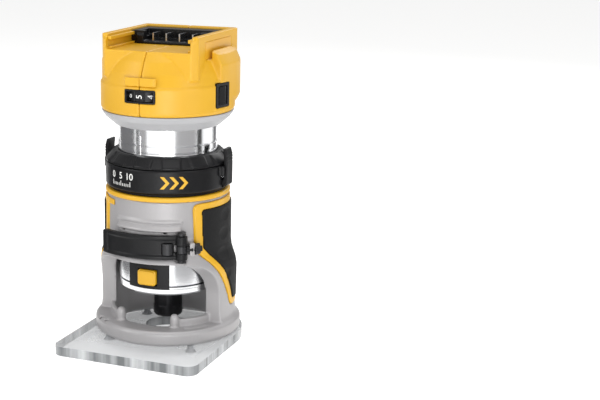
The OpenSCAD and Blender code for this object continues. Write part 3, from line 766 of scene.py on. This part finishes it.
@dataclass
class Studio:
    """Camera, lights, reflection cards and floor."""

    aim: Point = (0.0, 0.0, 0.0978)
    distance: float = 0.9368
    turn: float = 24.5
    rise: float = 13.41
    focal_px: float = 1328.4
    image_px: float = 600.0
    shift_x: float = 0.22
    card_reach: float = 0.18
    card_height: float = 0.16
    cards: tuple[tuple[float, float, str], ...] = (
        (-106.0, 0.2, "grey"), (-69.0, 0.022, "black"), (-55.0, 0.06, "pale"), (38.0, 0.16, "pale"),
        (71.0, 0.045, "black"), (128.0, 0.07, "grey"))

    def camera(self) -> None:
        """Places the camera at the viewing angle and makes it the scene's own."""
        turn, rise = math.radians(self.turn), math.radians(self.rise)
        back = Vector((math.sin(turn) * math.cos(rise), -math.cos(turn) * math.cos(rise), math.sin(rise)))
        data = bpy.data.cameras.new("camera")
        data.sensor_width = 36.0
        data.lens = self.focal_px * data.sensor_width / self.image_px
        data.shift_x = self.shift_x
        data.clip_start = 0.01
        camera = bpy.data.objects.new("camera", data)
        camera.location = Vector(self.aim) + back * self.distance
        camera.rotation_euler = back.to_track_quat("Z", "Y").to_euler()
        bpy.context.scene.collection.objects.link(camera)
        bpy.context.scene.camera = camera

    def light(self, name: str, place: Point, size: tuple[float, float], power: float) -> None:
        """Adds one soft box that faces the object.

        Args:
            name: The lamp's name.
            place: Its place in metres.
            size: Its width and height in metres.
            power: Its power in watts.
        """
        data = bpy.data.lights.new(name, "AREA")
        data.shape = "RECTANGLE"
        data.size, data.size_y = size
        data.energy = power
        lamp = bpy.data.objects.new(name, data)
        lamp.location = place
        away = Vector(place) - Vector(self.aim)
        lamp.rotation_euler = away.to_track_quat("Z", "Y").to_euler()
        bpy.context.scene.collection.objects.link(lamp)

    def card(self, turn: float, width: float, shade: str) -> None:
        """Stands one card on the floor. Only glossy reflections show it: camera, diffuse light and shadow do not.

        Args:
            turn: Angle from the camera's side, in degrees.
            width: Width in metres.
            shade: Which of the cards.
        """
        mesh = bmesh.new()
        bmesh.ops.create_grid(mesh, x_segments=1, y_segments=1, size=0.5)
        angle = math.radians(self.turn + turn)
        out = Vector((math.sin(angle), -math.cos(angle), 0.0))
        side = Vector((math.cos(angle), math.sin(angle), 0.0))
        for vert in mesh.verts:
            across, up = vert.co.x * width, (vert.co.y + 0.5) * self.card_height
            vert.co = out * self.card_reach + side * across + Vector((0, 0, up))
        card = linked("card", meshed("card", mesh))
        card.visible_camera = False
        card.visible_diffuse = False
        card.visible_shadow = False
        dress(card, CARDS[shade])

    def build(self) -> None:
        """Makes the sky, the cards, the lights and the floor."""
        world = bpy.data.worlds.new("studio")
        world.use_nodes = True
        sky = world.node_tree.nodes["Background"]
        sky.inputs["Color"].default_value = (1.0, 1.0, 1.0, 1.0)
        sky.inputs["Strength"].default_value = 0.5
        bpy.context.scene.world = world
        for turn, width, shade in self.cards:
            self.card(turn, width, shade)
        bpy.context.scene.view_settings.view_transform = "Standard"
        self.light("overhead", (0.1, -0.2, 1.3), (0.9, 0.9), 6.5)
        self.light("key", (-0.9, -0.9, 0.7), (0.35, 1.0), 6.5)
        self.light("fill", (1.0, -0.5, 0.5), (0.25, 0.9), 3.5)
        self.light("low", (0.3, -0.75, 0.07), (0.3, 0.12), 1.6)
        self.light("rim", (0.3, 1.1, 0.8), (0.8, 0.5), 4.5)
        mesh = bmesh.new()
        bmesh.ops.create_circle(mesh, cap_ends=True, radius=4.0, segments=64)
        floor = linked("floor", meshed("floor", mesh))
        floor.location.z = -0.0005
        dress(floor, FLOOR)


def main() -> None:
    """Builds every sub-assembly in order."""
    logging.basicConfig(level=logging.INFO)
    studio = Studio()
    studio.camera()
    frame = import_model()
    for node, finish in NODE_FINISHES.items():
        dress(frame["nodes"][node], finish)
        frame["nodes"][node].data.shade_smooth()
        frame["nodes"][node].data.set_sharp_from_angle(angle=math.radians(35))
    for part in (FixedBase(frame), DepthRing(frame), MotorHead(frame), MotorNose(frame)):
        part.build()
        LOG.info("built %s", type(part).__name__)
    studio.build()


if __name__ == "__main__":
    main()
